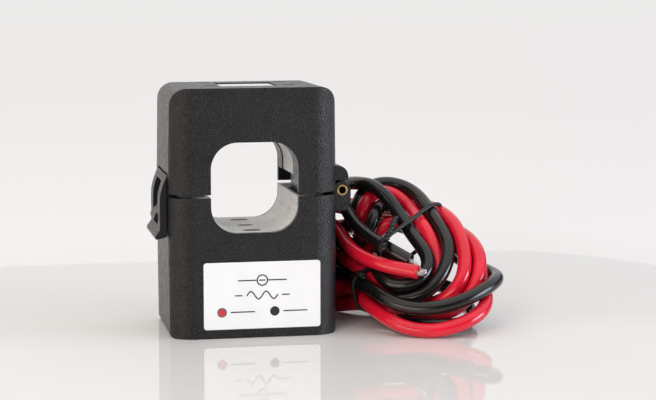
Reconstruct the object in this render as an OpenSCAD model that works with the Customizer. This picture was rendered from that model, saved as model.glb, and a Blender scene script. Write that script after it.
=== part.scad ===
// Split-core current transformer: a black two-part case round a square
// conductor window, hinged on the right and latched on the left, with a cut
// laminated core, a secondary winding in the lower half and two loose leads.
// Millimetres. X is the width (hinge at +X), Y the depth (front at -Y), Z up.

/* [Body] */
// Width of the case at the split line
body_w = 46.5; // [44:0.5:50]
// Depth of the case, front face to back face
body_d = 33.6; // [32:0.2:38]
// Height of the closed case
body_h = 68; // [66:0.5:74]
// Height of the middle of the split between the halves
split_z = 38.8; // [38:0.2:40]
// Gap between the two halves when they are closed
split_gap = 0.9; // [0.6:0.1:1.2]
// Thickness of the front and back plates
plate_t = 1.6; // [1.4:0.1:2]
// Plan radius of the two front vertical edges
front_r = 7; // [5:0.5:8]
// Plan radius of the two back vertical edges
back_r = 2; // [1:0.5:3]
// Radius of the two upper corners seen from the front
top_r = 4.6; // [3:0.2:6]
// Radius of the two lower corners seen from the front
foot_r = 1.3; // [0.8:0.1:2]
// How much narrower the upper half is at the top, each side
draft_top = 0.55; // [0:0.05:0.8]
// How much narrower the lower half is at the bottom, each side
draft_foot = 0.3; // [0:0.05:0.5]

/* [Conductor window] */
// Width of the window for the conductor
win_w = 24; // [20:0.5:24]
// Height of the lower edge of the window
win_bottom = 28.65; // [28:0.05:30]
// Height of the upper edge of the window
win_top = 53.3; // [50:0.1:53.5]
// Corner radius of the window
win_r = 7.3; // [4:0.1:9]
// Wall thickness of the pale lower liner
liner_t = 1; // [0.8:0.1:1.2]

/* [Core] */
// Width of each leg of the core
leg_w = 5.4; // [4.5:0.1:5.4]
// Distance from the middle of the window to the inner face of a leg
leg_x = 14.8; // [14.6:0.1:15]
// Thickness of the stack of laminations
stack = 21; // [16:0.5:21]
// Height of the lower yoke
yoke_low = 6.5; // [5:0.5:7]
// Height of the upper yoke
yoke_up = 6; // [5:0.5:6.5]

/* [Hinge] */
// Outer radius of the hollow hinge pin
pin_r = 1.5; // [1.2:0.1:1.6]
// Radius of the hole through the hinge pin
pin_hole_r = 1; // [0.5:0.1:1]
// Outer radius of the two ears on the lower half
ear_r = 2.4; // [2.2:0.1:2.5]
// Distance of the pin axis from the side of the case
pin_out = 2.05; // [2:0.05:2.2]
// Width of the whole hinge, front ear to back ear
hinge_w = 22; // [18:1:24]
// Running clearance between the pin and the knuckle, on the radius
pin_play = 0.05; // [0.02:0.01:0.1]

/* [Latch] */
// Width of the latch strap
strap_w = 23; // [20:1:24]
// Width of the window in the strap
strap_win = 11.2; // [10:0.2:12]
// Distance that the strap stands out from the case
strap_t = 2.1; // [1.8:0.1:2.4]
// Distance that the finger tab stands out from the case
tab_out = 3.35; // [3:0.05:4]

/* [Labels] */
// Width of the front label
label_w = 32.1; // [20:0.5:34]
// Height of the front label
label_h = 18.3; // [10:0.5:19]
// Side of the recess in the top
recess = 16; // [12:0.5:17]

/* [Leads] */
// Outside diameter of each lead
lead_d = 3.9; // [3.5:0.1:4]
// Diameter of the bare tinned wire at the end of each lead
tip_d = 1.8; // [1.2:0.1:2.2]
// Width of the two ties round the wound leads
tie_w = 1.4; // [1:0.1:2]

/* [Hidden] */
$fn = 64;

hw = body_w/2;
hd = body_d/2;
zl = split_z - split_gap/2;          // rim of the lower half
zu = split_z + split_gap/2;          // rim of the upper half
trim = 0.3;                          // how far the side planes cut the plan roundings
ww = win_w/2;
pin_x = hw + pin_out;
pin_z = split_z + 0.3;
hinge_out = pin_out + ear_r;
shift_x = (tab_out - hinge_out)/2;   // puts the middle of the whole width at X = 0
ear_w = 4;
leg_o = leg_x + leg_w;
pole_z = zl - 0.2;                   // top of the lower poles
core_z0 = 9;                         // underside of the lower yoke
core_top = win_top + 2.7 + yoke_up;  // top of the upper yoke
piv_u = -1.9;                        // latch pivot, measured outward from the left side
piv_z = zu + 6.15;
hole_y = 12.5;                       // leads leave the right side here
hole_z = [8.5, 13.5];
e = 0.01;

// Routes of the two leads, from the grommet to where they join the winding
route_red = [[21.4, 12.5, 8.5], [25.5, 12.5, 8.5], [29, 12, 7.2], [32.5, 10.5, 6.2],
             [36, 8, 5.7]];
route_black = [[21.4, 12.5, 13.5], [25.5, 12.5, 13.5], [29, 11, 14.2], [32, 8.5, 14.7],
               [33.8, 5, 14.7]];
// Routes of the bare ends, which are bent towards each other
route_tip_black = [[43.6, -12.4, 19.3], [45.2, -14, 18.5], [46.3, -15.2, 17.5], [46.6, -16.2, 16.4]];
route_tip_red = [[43.9, -18.1, 16.9], [45.5, -19.3, 16.5], [46.7, -19.5, 16.9], [47.2, -18.8, 17.8]];

// The wound leads lean back: their plane stands at 45 degrees, turned 26 degrees
hank_at = [42.4, -21.7, 2];
hank_tilt = 45;
hank_turn = -26;
hank_back = -9;                      // back face, measured across the plane
hank_front = 5.5;                    // front face
hank_edge = [[-34, 40], [-32.5, 46.5], [-27, 51], [-20, 53.5], [-12, 54], [-5, 51],
             [3, 46.5], [10, 41], [15.5, 34], [21, 25], [24, 18.5], [24, 12],
             [21, 6], [14, 0.5], [7, -2], [0, -3], [-7, -1], [-13, 3], [-22, 8],
             [-29, 20]];
hank_hole = [[-19, 22], [-20.5, 31], [-18, 38], [-12, 39], [-7.5, 35.5], [-4.5, 29],
             [-5, 22], [-8, 18], [-14, 18]];

// Plan of the turns that lie behind the case and under the leaning plane
turns_plan = [[7, 18], [7, 31], [12, 33], [28, 33], [40, 30], [50, 21], [53, 13], [46, 3],
              [37, 0], [29, 5], [28, 11.5], [27, 12], [27, 18]];
turns_top = 36;                      // their height
turns_clear = 24;                    // above this they stay clear of the way through the window

plastic = [0.13, 0.13, 0.14];
pale = [0.74, 0.73, 0.71];
steel = [0.62, 0.62, 0.63];

// ---- outlines ----

// Plan outline with large front corners and small back corners
module plan(w, d0, d1, rf, rb) {
    translate([-w + rf, d0]) square([2*(w - rf), d1 - d0]);
    translate([-w, d0 + rf]) square([2*w, d1 - d0 - rf - rb]);
    translate([-w + rb, (d0 + d1)/2]) square([2*(w - rb), (d1 - d0)/2]);
    for (s = [-1, 1]) {
        translate([s*(w - rf), d0 + rf]) circle(rf);
        translate([s*(w - rb), d1 - rb]) circle(rb);
    }
}

// Closed window outline: a rectangle with four round corners
module round_rect(w, z0, z1, r) {
    translate([-w + r, z0]) square([2*(w - r), z1 - z0]);
    translate([-w, z0 + r]) square([2*w, z1 - z0 - 2*r]);
    for (s = [-1, 1], z = [z0 + r, z1 - r]) translate([s*(w - r), z]) circle(r);
}

// Front outline of the upper half, with drafted sides and round upper corners
module front_upper() {
    k = draft_top/(body_h - zu);
    n = sqrt(1 + k*k);
    zc = body_h - top_r;
    xc = hw - k*(zc - zu) - top_r*n;
    tx = xc + top_r/n;
    tz = zc + top_r*k/n;
    polygon([[hw, zu], [tx, tz], [xc, zc], [xc, body_h], [-xc, body_h],
             [-xc, zc], [-tx, tz], [-hw, zu]]);
    for (s = [-1, 1]) translate([s*xc, zc]) circle(top_r);
}

// Front outline of the lower half, with drafted sides and small lower corners
module front_lower() {
    k = draft_foot/zl;
    n = sqrt(1 + k*k);
    xc = hw - k*(zl - foot_r) - foot_r*n;
    tx = xc + foot_r/n;
    tz = foot_r - foot_r*k/n;
    polygon([[hw, zl], [tx, tz], [xc, foot_r], [xc, 0], [-xc, 0],
             [-xc, foot_r], [-tx, tz], [-hw, zl]]);
    for (s = [-1, 1]) translate([s*xc, foot_r]) circle(foot_r);
}

// Extrudes an X-Z outline along Y, from y0 to y1
module deep(y0, y1) {
    translate([0, y1, 0]) rotate([90, 0, 0]) linear_extrude(y1 - y0) children();
}

// Extrudes a Y-Z outline along X, from x0 to x1
module across(x0, x1) {
    translate([x0, 0, 0]) rotate([90, 0, 90]) linear_extrude(x1 - x0) children();
}

module placed() { translate([shift_x, 0, 0]) children(); }

// A plain block between two corners
module block(a, b) { translate(a) cube(b - a); }

// A U-shaped band round the window, between two offsets from its outline
module band(t0, t1, z1) {
    difference() {
        intersection() {
            round_rect(ww + t1, win_bottom - t1, win_top + t1, win_r + t1);
            translate([-ww - t1, win_bottom - t1 - 1]) square([2*(ww + t1), z1 - win_bottom + t1 + 1]);
        }
        round_rect(ww + t0, win_bottom - t0, win_top + t0, win_r + t0);
    }
}

// The same band, turned over for the upper half: from z0 up
module arch(t0, t1, z0) {
    difference() {
        intersection() {
            round_rect(ww + t1, win_bottom - t1, win_top + t1, win_r + t1);
            translate([-ww - t1, z0]) square([2*(ww + t1), win_top + t1 + 1 - z0]);
        }
        round_rect(ww + t0, win_bottom - t0, win_top + t0, win_r + t0);
    }
}

// Y-Z outline with two round ends, for the lead exit
module slot_outline(r) {
    for (z = hole_z) translate([hole_y, z]) circle(r);
    translate([hole_y - r, hole_z[0]]) square([2*r, hole_z[1] - hole_z[0]]);
}

// ---- lower half ----

// X-Z outline of one hinge ear on the lower half
module ear_outline() {
    translate([pin_x, pin_z]) circle(ear_r);
    translate([hw - 0.6, 35.6]) square([pin_x + ear_r - hw + 0.6, pin_z - 35.6]);
    translate([hw - 0.6, 33.4]) square([2.9, 2.4]);
    translate([pin_x + ear_r - 2.2, 35.6]) circle(2.2);
}

module lower_case() {
    color(plastic) placed() difference() {
        union() {
            difference() {
                intersection() {
                    linear_extrude(zl) plan(hw + trim, -hd, hd, front_r, back_r);
                    deep(-hd - 1, hd + 1) front_lower();
                }
                // the hollow for the core and the winding
                translate([0, 0, 2]) linear_extrude(zl)
                    plan(hw - 1.95, -hd + plate_t, hd - plate_t, front_r - 1.8, 0.8);
                // the notch for the conductor window, through both plates
                deep(-hd - 1, hd + 1) round_rect(ww, win_bottom, win_top, win_r);
                // the lead exit in the right side
                across(hw - 3, hw + 1) slot_outline(2.5);
            }
            // hinge ears
            for (y = [-hinge_w/2, hinge_w/2 - ear_w]) deep(y, y + ear_w) ear_outline();
            // ribs that carry the core
            for (s = [-1, 1], y = [-7, 7])
                translate([s*(leg_x + leg_w/2) - 2.5, y - 0.6, 1.5]) cube([5, 1.2, core_z0 - 1.5]);
            // catch for the latch
            deep(-4.9, 4.9) polygon([[-hw + 0.3, 36.9], [-hw - 2.95, 32.4],
                [-hw - 3.05, 31.6], [-hw - 2.75, 31.3], [-hw + 0.3, 33.5]]);
        }
        // bore for the hinge pin
        translate([pin_x, hd, pin_z]) rotate([90, 0, 0]) cylinder(r = pin_r + e, h = body_d);
        // room for the knuckle of the upper half
        translate([pin_x, hinge_w/2 - ear_w + 0, pin_z]) rotate([90, 0, 0])
            cylinder(r = 2.5, h = hinge_w - 2*ear_w);
    }
}

module lower_liner() {
    color(pale) placed() {
        deep(-hd + plate_t + 0.1, hd - plate_t - 0.1) band(-0.15, liner_t - 0.15, zl);
        for (s = [-1, 1], t = [-1, 1])
            translate([s*(ww + liner_t/2 + 2.1) - 2.2, t*(hd - plate_t - 1.05) - 0.95, zl - 1.05])
                cube([4.4, 1.9, 1.05]);
    }
}

module lower_core() {
    color(steel) placed() {
        for (s = [-1, 1]) translate([s*(leg_x + leg_w/2) - leg_w/2, -stack/2, core_z0])
            cube([leg_w, stack, pole_z - core_z0]);
        block([-leg_x - e, -stack/2, core_z0], [leg_x + e, stack/2, core_z0 + yoke_low]);
    }
}

// Height limits of the coil former
bob_z = [core_z0 - 4.5, core_z0 + yoke_low + 4.5];

module bobbin() {
    color([0.86, 0.84, 0.78]) placed() difference() {
        union() {
            block([-leg_x + 0.3, -stack/2 - 1.1, core_z0 - 1.1],
                  [leg_x - 0.3, stack/2 + 1.1, core_z0 + yoke_low + 1.1]);
            for (s = [-1, 1]) translate([s*(leg_x - 0.9) - 0.6, -14.9, bob_z[0]])
                cube([1.2, 29.8, bob_z[1] - bob_z[0]]);
        }
        block([-20, -stack/2 - 0.2, core_z0 - 0.2], [20, stack/2 + 0.2, core_z0 + yoke_low + 0.2]);
    }
}

// X-normal block with round long edges, for the winding and its tape
module coil_block(x, y, z0, z1, r) {
    across(-x, x) {
        translate([-y + r, z0]) square([2*(y - r), z1 - z0]);
        translate([-y, z0 + r]) square([2*y, z1 - z0 - 2*r]);
        for (s = [-1, 1], z = [z0 + r, z1 - r]) translate([s*(y - r), z]) circle(r);
    }
}

module winding() {
    color([0.72, 0.42, 0.2]) placed() difference() {
        coil_block(leg_x - 1.7, 14, core_z0 - 3.6, core_z0 + yoke_low + 3.6, 2);
        block([-20, -stack/2 - 1.2, core_z0 - 1.2], [20, stack/2 + 1.2, core_z0 + yoke_low + 1.2]);
    }
}

module winding_tape() {
    color([0.85, 0.75, 0.3]) placed() difference() {
        coil_block(leg_x - 1.8, 14.5, core_z0 - 4.1, core_z0 + yoke_low + 4.1, 2.5);
        coil_block(leg_x, 14.1, core_z0 - 3.7, core_z0 + yoke_low + 3.7, 2.1);
    }
}

board_z = bob_z[1] + 0.05;

module terminal_board() {
    color([0.1, 0.35, 0.2]) placed() difference() {
        block([-leg_x + 0.4, -9, board_z], [leg_x - 0.4, 14.6, board_z + 1.2]);
        for (x = [-7.6, 7.6]) translate([x, -4, board_z - 1]) cylinder(r = 0.5, h = 4);
    }
}

module clamp_diode() {
    color([0.2, 0.2, 0.2]) placed() {
        translate([-3, -4, board_z + 2.7]) rotate([0, 90, 0]) cylinder(r = 1.35, h = 6);
        for (s = [-1, 1]) {
            translate([s*7.6, -4, board_z - 0.4]) cylinder(r = 0.4, h = 3.5);
            translate([s*5.3 - 2.7, -4, board_z + 2.7]) rotate([0, 90, 0]) cylinder(r = 0.4, h = 5.4);
        }
    }
}

// One lead inside the case: in from the exit, up beside the leg, over the board
module inner_run(z_in, x_up, z_over) {
    r = 1.4;
    translate([x_up, hole_y, z_in]) rotate([0, 90, 0]) cylinder(r = r, h = hw - 2.05 - x_up);
    translate([x_up, hole_y, z_in]) cylinder(r = r, h = z_over - z_in);
    translate([10, hole_y, z_over]) rotate([0, 90, 0]) cylinder(r = r, h = x_up - 10);
    for (z = [z_in, z_over]) translate([x_up, hole_y, z]) sphere(r);
}

module splice_sleeve_red() { color([0.6, 0.1, 0.1]) placed() inner_run(hole_z[0], 16.3, 22.75); }
module splice_sleeve_black() { color([0.1, 0.1, 0.1]) placed() inner_run(hole_z[1], 19.3, 25.8); }

module lead_grommet() {
    color([0.1, 0.1, 0.1]) placed() difference() {
        union() {
            across(hw - 1.9, hw + 0.2) slot_outline(2.45);
            across(hw + 0.05, hw + 1.6) slot_outline(2.8);
        }
        for (z = hole_z) translate([hw - 3, hole_y, z]) rotate([0, 90, 0]) cylinder(r = lead_d/2, h = 6);
    }
}

module front_label() {
    color([0.95, 0.95, 0.94]) placed() deep(-hd - 0.12, -hd) {
        x0 = 1.85; z0 = 2.5; r = 0.8;
        translate([x0 - label_w/2 + r, z0]) square([label_w - 2*r, label_h]);
        translate([x0 - label_w/2, z0 + r]) square([label_w, label_h - 2*r]);
        for (s = [-1, 1], z = [z0 + r, z0 + label_h - r]) translate([x0 + s*(label_w/2 - r), z]) circle(r);
    }
}

module hinge_pin() {
    color([0.85, 0.72, 0.35]) placed() translate([pin_x, hinge_w/2 + 0.1, pin_z]) rotate([90, 0, 0])
        difference() {
            cylinder(r = pin_r, h = hinge_w + 0.2);
            translate([0, 0, -1]) cylinder(r = pin_hole_r, h = hinge_w + 3);
        }
}

// ---- upper half ----

wall_z0 = zu + 4.05;      // lower end of the inner wall of the upper half
mid_y = [-8.4, 8.8];      // the open middle of that wall

// X-Z outline of the hinge block on the upper half, above the ears
module hinge_block_outline() {
    translate([hw - 0.8, pin_z + ear_r + 0.3]) square([pin_out + 1.7 + 0.8 - 3, 4.1]);
    translate([hw - 0.8, pin_z + ear_r + 0.3]) square([pin_out + 1.7 + 0.8, 1.6]);
    difference() {
        translate([pin_x + 1.7 - 3, pin_z + ear_r + 1.4]) circle(3);
        translate([hw - 6, pin_z - 5]) square([14, 5 + ear_r + 0.3]);
    }
}

module upper_case() {
    color(plastic) placed() difference() {
        union() {
            difference() {
                intersection() {
                    translate([0, 0, zu]) linear_extrude(body_h - zu)
                        plan(hw + trim, -hd, hd, front_r, back_r);
                    deep(-hd - 1, hd + 1) front_upper();
                }
                // the hollow for the core, outside the inner wall
                difference() {
                    translate([0, 0, zu - 1]) linear_extrude(body_h - 2.6 - zu + 1)
                        plan(hw - 1.8, -hd + plate_t, hd - plate_t, front_r - 1.8, 0.8);
                    deep(-hd, hd) arch(-1, 1.4, wall_z0);
                }
                // the conductor window
                deep(-hd - 1, hd + 1) round_rect(ww, win_bottom, win_top, win_r);
                // the open middle of the inner wall
                deep(mid_y[0], mid_y[1]) arch(-1, 1.5, wall_z0 - 1);
            }
            // hinge block over the whole width, and the knuckle between the ears
            deep(-hinge_w/2, hinge_w/2) hinge_block_outline();
            deep(-hinge_w/2 + ear_w + 0.25, hinge_w/2 - ear_w - 0.25) {
                translate([pin_x, pin_z]) circle(2.2);
                translate([hw - 0.8, pin_z]) square([pin_out + 2.5, 4.5]);
            }
            // lugs that hold the latch pin
            for (y = [-13.4, 11.8]) translate([-hw + 0.6, y, piv_z - 1.5]) cube([2.4, 1.6, 3]);
        }
        // bore for the hinge pin
        translate([pin_x, hd, pin_z]) rotate([90, 0, 0]) cylinder(r = pin_r + pin_play, h = body_d);
        // room for the ears of the lower half
        for (y = [-hinge_w/2 - 0.25, hinge_w/2 - ear_w - 0.25])
            translate([pin_x, y, pin_z]) rotate([-90, 0, 0]) cylinder(r = ear_r + 0.25, h = ear_w + 0.5);
        // slit for the latch strap, and the pocket behind it for its barrel
        block([-hw - 1, -strap_w/2 - 0.2, zu + 2.6], [-hw + 2.2, strap_w/2 + 0.2, zu + 5.5]);
        block([-hw + 0.7, -strap_w/2 - 0.2, zu + 2.6], [-hw + 3.05, strap_w/2 + 0.2, piv_z + 1.4]);
        // bore for the latch pin, through both lugs
        translate([-hw - piv_u, 13.5, piv_z]) rotate([90, 0, 0]) cylinder(r = 0.61, h = 27);
        // recess for the label in the top, and the four clip slots beside it
        translate([0.4 - recess/2, 1.2 - recess/2, body_h - 0.5]) cube([recess, recess, 1]);
        for (x = [-10.2, 11.8], y = [-3.4, 11.4])
            translate([x - 1.75, y - 0.9, body_h - 1.6]) cube([3.5, 1.8, 2]);
    }
}

// Y-Z outline that rounds the lower corners of the pale strips
module strip_outline(y0, y1, z0, r) {
    translate([y0 + r, z0]) square([y1 - y0 - 2*r, 40]);
    translate([y0, z0 + r]) square([y1 - y0, 40]);
    for (y = [y0 + r, y1 - r]) translate([y, z0 + r]) circle(r);
}

module upper_liner() {
    color(pale) placed() {
        intersection() {
            deep(-hd, hd) arch(0.3, 1.55, wall_z0);
            across(-hw, hw) strip_outline(mid_y[0] + 0.1, mid_y[1] - 0.1, wall_z0, 1.2);
        }
        deep(mid_y[0] - 1.2, mid_y[1] + 1.2) arch(1.5, 2.4, wall_z0 + 0.6);
    }
}

module upper_core() {
    color(steel) placed() {
        for (s = [-1, 1]) translate([s*(leg_x + leg_w/2) - leg_w/2, -stack/2, pole_z + 0.05])
            cube([leg_w, stack, core_top - pole_z - 0.05]);
        block([-leg_x - e, -stack/2, core_top - yoke_up], [leg_x + e, stack/2, core_top]);
    }
}

// A bowed steel leaf between the upper yoke and the ceiling of the case
module core_spring() {
    rise = body_h - 2.6 - 0.1 - core_top - 0.05;
    half = 14;
    rr = (half*half + (rise - 0.4)*(rise - 0.4))/(2*(rise - 0.4));
    zc = core_top + 0.05 + rise - rr;
    color([0.7, 0.7, 0.72]) placed() deep(-6, 6) intersection() {
        difference() {
            translate([0, zc]) circle(rr, $fn = 180);
            translate([0, zc]) circle(rr - 0.4, $fn = 180);
        }
        translate([-half, core_top + 0.05]) square([2*half, rise + 1]);
    }
}

module top_label() {
    color([0.95, 0.95, 0.94]) placed()
        translate([0.4 - recess/2 + 0.3, 1.2 - recess/2 + 0.3, body_h - 0.5])
            cube([recess - 0.6, recess - 0.6, 0.15]);
}

module latch_pin() {
    color([0.75, 0.75, 0.77]) placed() translate([-hw - piv_u, 13.4, piv_z])
        rotate([90, 0, 0]) cylinder(r = 0.6, h = 26.8);
}

// ---- latch ----

// X-Z outline of the latch, drawn on the left side of the case
module latch_outline() {
    u = -hw;
    polygon([[u - 0.1, zu + 4.9], [u - 0.75, zu + 3.6], [u - 1.35, zu + 2], [u - 1.8, zu + 0.4],
             [u - strap_t + 0.05, zu - 1], [u - strap_t, zu - 2.7], [u - strap_t, 29.4],
             [u - tab_out, 27.7], [u - tab_out, 26.9], [u - tab_out + 0.6, 26.8],
             [u - 0.3, 27.4], [u - 0.15, 27.8], [u - 0.15, zu + 3.2], [u + 0.6, zu + 3.8],
             [u + 1.5, zu + 5.2], [u + 2.2, zu + 6.2], [u + 1.35, zu + 6.0], [u + 0.85, zu + 5.0]]);
    translate([-hw - piv_u, piv_z]) circle(1.05);
}

module latch_clip() {
    color(plastic) placed() difference() {
        deep(-strap_w/2, strap_w/2) latch_outline();
        // the window that the catch comes through
        block([-hw - 6, -strap_win/2, 30], [-hw - 0.05, strap_win/2, zu + 3]);
        translate([-hw - piv_u, 20, piv_z]) rotate([90, 0, 0]) cylinder(r = 0.65, h = 40);
    }
}

// ---- leads ----

function unit(v) = v/norm(v);
function bend(a, b, c, d, t) = 0.5*(2*b + (c - a)*t + (2*a - 5*b + 4*c - d)*t*t
    + (3*b - a - 3*c + d)*t*t*t);
function smooth(p, n) = [for (i = [0:len(p) - 2], k = [0:n - 1])
    bend(p[max(i - 1, 0)], p[i], p[i + 1], p[min(i + 2, len(p) - 1)], k/n), p[len(p) - 1]];
function along(q, i) = unit(q[min(i + 1, len(q) - 1)] - q[max(i - 1, 0)]);
function ring(c, t, r, n) = let (a = unit(cross(t, [0.2, 0.1, 1])), b = cross(t, a))
    [for (k = [0:n - 1]) c + r*(a*cos(360*k/n) + b*sin(360*k/n))];

// A round tube of n sides along a smooth route
module tube(route, d, n, steps) {
    q = smooth(route, steps);
    m = len(q);
    polyhedron(
        points = [for (i = [0:m - 1]) each ring(q[i], i == 0 ? [1, 0, 0] : along(q, i), d/2, n)],
        faces = concat(
            [[for (k = [n - 1:-1:0]) k]],
            [for (i = [0:m - 2], k = [0:n - 1])
                [i*n + k, i*n + (k + 1)%n, (i + 1)*n + (k + 1)%n, (i + 1)*n + k]],
            [[for (k = [0:n - 1]) (m - 1)*n + k]]));
}

module lead_red() { color([0.8, 0.1, 0.15]) placed() tube(route_red, lead_d, 8, 2); }
module lead_black() { color([0.1, 0.1, 0.1]) placed() tube(route_black, lead_d, 8, 2); }
module tip_red() { color([0.85, 0.83, 0.8]) placed() tube(route_tip_red, tip_d, 8, 2); }
module tip_black() { color([0.85, 0.83, 0.8]) placed() tube(route_tip_black, tip_d, 8, 2); }

// Puts a shape drawn flat into the leaning plane of the wound leads
module leaning() { translate(hank_at) rotate([hank_tilt, 0, hank_turn]) children(); }

// The space beside the case, above the floor and below the opened upper half
module beside(z0) { block([25.1, -45, z0], [85, 45, 40.5]); }

// A closed band round one side of the winding: middle, direction and length across it
module tie_band(c, a, w) {
    difference() {
        intersection() {
            leaning() translate([c[0], c[1], (hank_back + hank_front)/2]) rotate(a)
                cube([w, tie_w, hank_front - hank_back - 1], center = true);
            beside(0.1);
        }
        intersection() {
            leaning() translate([c[0], c[1], (hank_back + hank_front)/2]) rotate(a)
                cube([w - 2.4, 3*tie_w, hank_front - hank_back - 3.4], center = true);
            beside(1.2);
        }
    }
}

module upper_band() { tie_band([-3, 38], 40, 20); }
module lower_band() { tie_band([-13, 11], 105, 18); }

module lead_hank() {
    color([0.35, 0.08, 0.1]) placed() difference() {
        union() {
            intersection() {
                leaning() translate([0, 0, hank_back]) linear_extrude(hank_front - hank_back)
                    difference() { polygon(hank_edge); polygon(hank_hole); }
                beside(0.1);
            }
            difference() {
                translate([0, 0, 0.1]) linear_extrude(turns_top - 0.1) polygon(turns_plan);
                block([0, 17, turns_clear], [ww + 1, 40, turns_top + 1]);
            }
        }
        upper_band();
        lower_band();
    }
}

module tie_upper() { color([0.1, 0.1, 0.1]) placed() upper_band(); }
module tie_lower() { color([0.1, 0.1, 0.1]) placed() lower_band(); }

lower_case();
lower_liner();
lower_core();
bobbin();
winding();
winding_tape();
terminal_board();
clamp_diode();
splice_sleeve_red();
splice_sleeve_black();
lead_grommet();
front_label();
hinge_pin();
upper_case();
upper_liner();
upper_core();
core_spring();
top_label();
latch_pin();
latch_clip();
lead_red();
lead_black();
lead_hank();
tie_upper();
tie_lower();
tip_red();
tip_black();
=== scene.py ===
import math

import bmesh
import bpy
import numpy as np
from mathutils import Matrix, Vector


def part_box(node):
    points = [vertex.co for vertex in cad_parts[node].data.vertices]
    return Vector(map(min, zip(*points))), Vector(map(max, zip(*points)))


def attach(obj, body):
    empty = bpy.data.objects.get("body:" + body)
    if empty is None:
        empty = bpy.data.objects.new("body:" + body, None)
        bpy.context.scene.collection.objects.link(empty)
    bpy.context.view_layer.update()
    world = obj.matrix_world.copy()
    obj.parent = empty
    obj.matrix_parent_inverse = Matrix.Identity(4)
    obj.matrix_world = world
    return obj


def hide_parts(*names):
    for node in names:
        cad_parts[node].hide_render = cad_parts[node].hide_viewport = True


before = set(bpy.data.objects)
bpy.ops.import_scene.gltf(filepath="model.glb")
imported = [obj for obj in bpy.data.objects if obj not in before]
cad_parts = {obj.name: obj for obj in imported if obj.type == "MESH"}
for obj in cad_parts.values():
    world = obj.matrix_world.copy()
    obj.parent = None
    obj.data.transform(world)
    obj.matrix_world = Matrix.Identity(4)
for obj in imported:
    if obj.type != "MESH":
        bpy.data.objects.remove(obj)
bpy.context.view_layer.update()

MM = 0.001
scene = bpy.context.scene
scene.view_settings.view_transform = "Standard"

# ------------------------------------------------------------------ camera

cam_data = bpy.data.cameras.new("camera")
cam_data.sensor_fit = "HORIZONTAL"
cam_data.sensor_width = 36.0
cam_data.lens = 1749.73 / 656 * 36.0
cam_data.shift_x = 0.096
cam_data.shift_y = -0.0915
cam_data.clip_start = 0.01
cam_data.dof.use_dof = False
camera = bpy.data.objects.new("camera", cam_data)
scene.collection.objects.link(camera)
yaw, pitch, roll = 0.1667, -0.0888, -0.0047
forward = Vector((math.sin(yaw) * math.cos(pitch), math.cos(yaw) * math.cos(pitch), math.sin(pitch)))
right = Vector((math.cos(yaw), -math.sin(yaw), 0.0))
up = right.cross(forward)
cam_right = right * math.cos(roll) + up * math.sin(roll)
cam_up = up * math.cos(roll) - right * math.sin(roll)
camera.matrix_world = Matrix(
    [
        [cam_right[i], cam_up[i], -forward[i], (-0.075744, -0.480254, 0.095741)[i]]
        for i in range(3)
    ]
    + [[0, 0, 0, 1]]
)
scene.camera = camera

# ------------------------------------------------------------------ leads
# Points of the two routes in millimetres, from the exits to the cut ends.

BORE = 3.95
STEP = 2.0

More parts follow.
